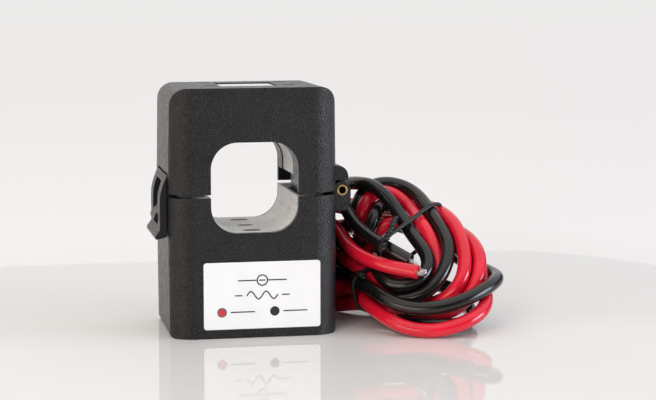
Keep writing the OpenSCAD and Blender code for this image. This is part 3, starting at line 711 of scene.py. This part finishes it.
end_r, dir_r = red_fine[-1], (red_fine[-1] - red_fine[-4]) / np.linalg.norm(red_fine[-1] - red_fine[-4])
end_b, dir_b = black_fine[-1], (black_fine[-1] - black_fine[-4]) / np.linalg.norm(black_fine[-1] - black_fine[-4])
bare_black = twisted(
    "bare_end_black",
    [end_b - dir_b * 1.2, end_b + dir_b * 0.8, end_b + dir_b * 2.2 + (0, 0, -0.5), end_b + dir_b * 3.3 + (0.1, -0.5, -1.7), end_b + dir_b * 3.9 + (0.2, -1.3, -3.0)],
    0.3, 0.52, 7.0, 6,
)
bare_red = twisted(
    "bare_end_red",
    [end_r - dir_r * 1.2, end_r + dir_r * 0.6, end_r + dir_r * 1.6 + (0, 0.2, 0.3), end_r + dir_r * 2.3 + (0.1, 0.7, 1.1)],
    0.3, 0.52, 7.0, 6, phase=0.4,
)
for ob, node in ((bare_black, "tip_black"), (bare_red, "tip_red")):
    dress(ob, M["tin"])
    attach(ob, "lower")
    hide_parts(node)

# ------------------------------------------------------------------ case pieces


def bevelled(node, name, width, angle=28.0, segments=2, concave=False):
    """A copy of a CAD node with its outer edges rounded off."""
    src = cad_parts[node]
    bm = bmesh.new()
    bm.from_mesh(src.data)
    bmesh.ops.remove_doubles(bm, verts=bm.verts, dist=2e-6)
    bmesh.ops.dissolve_limit(bm, angle_limit=math.radians(0.6), verts=bm.verts, edges=bm.edges)
    layer = bm.edges.layers.float.new("bevel_weight_edge")
    for e in bm.edges:
        if e.is_manifold and e.calc_face_angle(0) > math.radians(angle) and (e.is_convex or concave):
            e[layer] = 1.0
    me = bpy.data.meshes.new(name)
    bm.to_mesh(me)
    bm.free()
    me.materials.clear()
    me.shade_smooth()
    ob = bpy.data.objects.new(name, me)
    scene.collection.objects.link(ob)
    b = ob.modifiers.new("edge", "BEVEL")
    b.limit_method = "WEIGHT"
    b.width = width * MM
    b.segments = segments
    b.profile = 0.5
    b.use_clamp_overlap = True
    b.harden_normals = False
    me.set_sharp_from_angle(angle=math.radians(35))
    deps = bpy.context.evaluated_depsgraph_get()
    done = bpy.data.meshes.new_from_object(ob.evaluated_get(deps))
    done.name = name
    ob.modifiers.clear()
    ob.data = done
    bpy.data.meshes.remove(me)
    done.shade_smooth()
    done.set_sharp_from_angle(angle=math.radians(38))
    w = ob.modifiers.new("normals", "WEIGHTED_NORMAL")
    w.keep_sharp = True
    w.weight = 50
    deps = bpy.context.evaluated_depsgraph_get()
    final = bpy.data.meshes.new_from_object(ob.evaluated_get(deps))
    final.name = name
    ob.modifiers.clear()
    ob.data = final
    bpy.data.meshes.remove(done)
    return ob


lower_case = bevelled("lower_case", "case_lower", 0.3)
dress(lower_case, M["case"])
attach(lower_case, "lower")
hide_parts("lower_case")

upper_case = bevelled("upper_case", "case_upper", 0.3)
dress(upper_case, M["case"])
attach(upper_case, "upper")
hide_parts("upper_case")

latch = bevelled("latch_clip", "latch_strap", 0.2)
dress(latch, M["latch"])
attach(latch, "latch")
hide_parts("latch_clip")

lower_liner = bevelled("lower_liner", "liner_lower", 0.12)
dress(lower_liner, M["liner"])
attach(lower_liner, "lower")
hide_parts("lower_liner")

upper_liner = bevelled("upper_liner", "liner_upper", 0.12)
dress(upper_liner, M["liner"])
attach(upper_liner, "upper")
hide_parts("upper_liner")

for node, mat in (
    ("lower_core", "core"),
    ("upper_core", "core"),
    ("bobbin", "bobbin"),
    ("winding", "copper"),
    ("winding_tape", "tape"),
    ("terminal_board", "board"),
    ("clamp_diode", "diode"),
    ("splice_sleeve_red", "red"),
    ("splice_sleeve_black", "black"),
    ("lead_grommet", "grommet"),
    ("front_label", "label"),
    ("top_label", "label"),
    ("core_spring", "spring"),
    ("latch_pin", "steel"),
):
    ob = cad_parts[node]
    if ob.data.materials:
        for i in range(len(ob.data.materials)):
            ob.material_slots[i].material = M[mat]
    else:
        ob.data.materials.append(M[mat])

# ------------------------------------------------------------------ hinge pin, print and moulded marks

pin = bevelled("hinge_pin", "hinge_rivet", 0.16, segments=3)
dress(pin, M["brass"])
pin.data.materials.append(M["bore"])
low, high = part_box("hinge_pin")
axis_x, axis_z = (low.x + high.x) / 2, (low.z + high.z) / 2
# the faces of the bore's inner wall get the painted shade material
for f in pin.data.polygons:
    if math.hypot(f.center.x - axis_x, f.center.z - axis_z) < 0.00101 and abs(f.normal.y) < 0.3:
        f.material_index = 1
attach(pin, "lower")
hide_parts("hinge_pin")


def stroke(line, width, rounds=6):
    """Outline of a line of even width with round ends, for flat print."""
    line = np.array(line, float)
    t = np.gradient(line, axis=0)
    t /= np.linalg.norm(t, axis=1)[:, None]
    n = np.column_stack([-t[:, 1], t[:, 0]])
    h = width / 2
    out = [p + q * h for p, q in zip(line, n)]
    a0 = math.atan2(n[-1][1], n[-1][0])
    out += [line[-1] + h * np.array([math.cos(a0 - math.pi * k / rounds), math.sin(a0 - math.pi * k / rounds)]) for k in range(1, rounds)]
    out += [p - q * h for p, q in zip(line[::-1], n[::-1])]
    a1 = math.atan2(-n[0][1], -n[0][0])
    out += [line[0] + h * np.array([math.cos(a1 - math.pi * k / rounds), math.sin(a1 - math.pi * k / rounds)]) for k in range(1, rounds)]
    return out, None


def disc(x, z, r, inner=0.0, n=32):
    a = [2 * math.pi * k / n for k in range(n)]
    out = [(x + r * math.cos(t), z + r * math.sin(t)) for t in a]
    hole = [(x + inner * math.cos(t), z + inner * math.sin(t)) for t in a] if inner else None
    return out, hole


def flat_print(name, shapes, place, thick):
    """Thin solid print from outlines; place turns (x, y, height) in millimetres into a point."""
    verts, faces = [], []
    for out, hole in shapes:
        at, n = len(verts), len(out)
        for h in (0.0, thick):
            verts += [place(p[0], p[1], h) for p in out]
        if hole is None:
            faces.append([at + n + k for k in range(n)])
            faces.append([at + k for k in reversed(range(n))])
            faces += [[at + k, at + (k + 1) % n, at + n + (k + 1) % n, at + n + k] for k in range(n)]
        else:
            for h in (0.0, thick):
                verts += [place(p[0], p[1], h) for p in hole]
            o0, o1, i0, i1 = at, at + n, at + 2 * n, at + 3 * n
            for k in range(n):
                j = (k + 1) % n
                faces += [[o1 + k, o1 + j, i1 + j, i1 + k], [o0 + j, o0 + k, i0 + k, i0 + j], [o0 + k, o0 + j, o1 + j, o1 + k], [i0 + j, i0 + k, i1 + k, i1 + j]]
    ob = mesh_object(name, [np.array(v) * MM for v in verts], faces, smooth=False)
    bm = bmesh.new()
    bm.from_mesh(ob.data)
    bmesh.ops.recalc_face_normals(bm, faces=bm.faces)
    bm.to_mesh(ob.data)
    bm.free()
    return ob


label_low, label_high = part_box("front_label")
label_x = (label_low.x + label_high.x) / 2 / MM
label_y = label_low.y / MM


def on_label(x, z, h):
    return (label_x + x, label_y + 0.005 - h, z)


def bar(x0, x1, z, w=0.34):
    return stroke([(x0, z), ((x0 + x1) / 2, z), (x1, z)], w)


xs = np.linspace(-4.2, 4.2, 49)
dark_print = [
    bar(-6.6, -1.75, 15.75),
    bar(1.75, 6.6, 15.75),
    disc(0, 15.75, 1.6, 1.24),
    bar(-0.75, 0.75, 15.75),
    stroke([(x, 11.65 + 1.05 * math.sin(x / 4.2 * 2 * math.pi)) for x in xs], 0.36),
    bar(-7.4, -5.6, 11.65),
    bar(5.6, 7.4, 11.65),
    bar(-8.6, -2.2, 7.15),
    disc(3.4, 7.15, 1.3),
    bar(5.9, 12.3, 7.15),
    disc(-11.1, 7.15, 1.3, 0.98),
]
ink = flat_print("label_print_dark", dark_print, on_label, 0.03)
dress(ink, M["ink"])
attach(ink, "lower")
red_key = flat_print("label_print_red", [disc(-11.1, 7.15, 0.94)], on_label, 0.03)
dress(red_key, M["ink_red"])
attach(red_key, "lower")


def on_floor_of_window(x, y, h):
    return (x, y, 28.81 + h)


def thick_line(points, w):
    out = []
    for p, q in zip(points[:-1], points[1:]):
        out.append(stroke([p, ((p[0] + q[0]) / 2, (p[1] + q[1]) / 2), q], w))
    return out


marks = flat_print(
    "liner_marks",
    thick_line([(-2.2, 9.9), (0.2, 9.9)], 2.7)
    + thick_line([(-2.1, -1.6), (0.2, -1.6)], 2.0)
    + thick_line([(-1.8, -11.9), (0.4, -11.9)], 2.7),
    on_floor_of_window,
    0.05,
)
dress(marks, M["mark"])
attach(marks, "lower")

# ------------------------------------------------------------------ floor and light


def plain(name, rough, spec):
    """A pale glossy sheet with a rounded back edge, on paler matt paper; from the case's front line back to its edge
    the sheet is painted darker, as painted shade of the case and leads.
    """
    m, nt, sh = material(name)
    v = coords(nt)
    part = nt.nodes.new("ShaderNodeSeparateXYZ")
    link(nt, v, part.inputs[0])
    beyond = maths(nt, "MAXIMUM", maths(nt, "SUBTRACT", part.outputs["X"], 0.11), 0.0)
    depth = maths(nt, "ADD", part.outputs["Y"], maths(nt, "MULTIPLY", maths(nt, "MULTIPLY", beyond, beyond), 22.0))
    n = noise(nt, v, 3.0, 2.0, 0.5)
    along = maths(nt, "ADD", spread(nt, depth, -0.1, 0.2), spread(nt, n, 0.3, 0.7, -0.004, 0.004))
    # painted shade: the sheet tone drops from 0.84 to 0.78 at the case's front line and stays that dark back to the
    # sheet's edge
    floor_tone_with_painted_shade = ramp(nt, along, [
        (0.0, (0.85, 0.842, 0.825)), (0.25, (0.84, 0.828, 0.81)), (0.34, (0.78, 0.77, 0.75)),
        (0.72, (0.78, 0.773, 0.76)), (0.735, (0.9, 0.898, 0.89)), (1.0, (0.93, 0.93, 0.925)),
    ])
    link(nt, floor_tone_with_painted_shade, sh.inputs["Base Color"])
    link(nt, spread(nt, along, 0.72, 0.735, rough, 0.45), sh.inputs["Roughness"])
    sh.inputs["Specular IOR Level"].default_value = spec
    return m


bm = bmesh.new()
bmesh.ops.create_grid(bm, x_segments=2, y_segments=2, size=4.0)
me = bpy.data.meshes.new("floor")
bm.to_mesh(me)
bm.free()
floor = bpy.data.objects.new("floor", me)
floor.location.z = -0.00002
scene.collection.objects.link(floor)
me.materials.append(plain("floor_white", 0.035, 0.13))

world = bpy.data.worlds.new("studio")
world.use_nodes = True
scene.world = world
nt = world.node_tree
nt.nodes.clear()
out = nt.nodes.new("ShaderNodeOutputWorld")
bg = nt.nodes.new("ShaderNodeBackground")
tc = nt.nodes.new("ShaderNodeTexCoord")
sep = nt.nodes.new("ShaderNodeSeparateXYZ")
link(nt, tc.outputs["Generated"], sep.inputs[0])
back_glow = spread(nt, sep.outputs["Y"], -0.6, 0.0, 0.05, 0.9)
top_glow = spread(nt, sep.outputs["Z"], 0.4, 0.8, 0.0, 0.98)
glow = maths(nt, "MINIMUM", maths(nt, "ADD", back_glow, top_glow), 1.0)


def patch(x, y, near, full, low, high):
    """A soft upright strip of light on one side."""
    d = maths(nt, "ADD", maths(nt, "MULTIPLY", sep.outputs["X"], x), maths(nt, "MULTIPLY", sep.outputs["Y"], y))
    side = spread(nt, d, near, full, 0.0, 1.0)
    up = maths(nt, "MULTIPLY", spread(nt, sep.outputs["Z"], low, low + 0.1, 0.0, 1.0), spread(nt, sep.outputs["Z"], high, high + 0.15, 1.0, 0.0))
    return maths(nt, "MULTIPLY", side, up)


strip_right = patch(0.88, -0.475, 0.93, 0.97, -0.35, 0.25)
strip_left = patch(-0.8, -0.6, 0.84, 0.95, -0.35, 0.2)
shade_left = patch(-0.97, 0.24, 0.7, 0.95, -0.3, 0.3)
shade_right = patch(0.94, 0.34, 0.75, 0.9, -0.2, 0.3)
glow = maths(nt, "MULTIPLY", glow, maths(nt, "SUBTRACT", 1.0, maths(nt, "MULTIPLY", shade_right, 0.9)))
glow = maths(nt, "MULTIPLY", glow, maths(nt, "SUBTRACT", 1.0, maths(nt, "MULTIPLY", shade_left, 0.5)))
glow = maths(nt, "ADD", glow, maths(nt, "ADD", maths(nt, "MULTIPLY", strip_right, 11.0), maths(nt, "MULTIPLY", strip_left, 2.8)))
warm = ramp(nt, spread(nt, sep.outputs["X"], -0.8, 0.8), [(0.0, (1.0, 0.84, 0.72)), (0.3, (1.0, 0.97, 0.94)), (0.65, (1.0, 0.99, 0.975)), (1.0, (0.82, 0.87, 1.0))])
pale = nt.nodes.new("ShaderNodeBackground")
pale.inputs["Color"].default_value = (0.835, 0.828, 0.82, 1)
link(nt, warm, bg.inputs["Color"])
link(nt, glow, bg.inputs["Strength"])
path = nt.nodes.new("ShaderNodeLightPath")
mix = nt.nodes.new("ShaderNodeMixShader")
link(nt, path.outputs["Is Camera Ray"], mix.inputs[0])
link(nt, bg.outputs[0], mix.inputs[1])
link(nt, pale.outputs[0], mix.inputs[2])
link(nt, mix.outputs[0], out.inputs[0])


def area(name, place, target, size, power, colour=(1, 1, 1)):
    ld = bpy.data.lights.new(name, "AREA")
    ld.shape = "RECTANGLE"
    ld.size, ld.size_y = size
    ld.energy = power
    ld.color = colour
    ob = bpy.data.objects.new(name, ld)
    ob.location = place
    ob.rotation_euler = (Vector(target) - Vector(place)).to_track_quat("-Z", "Y").to_euler()
    scene.collection.objects.link(ob)
    return ob


key = area("light_key", (-0.5, -0.85, 0.45), (0.0, 0.0, 0.03), (0.4, 0.35), 4.0)
key.visible_glossy = False
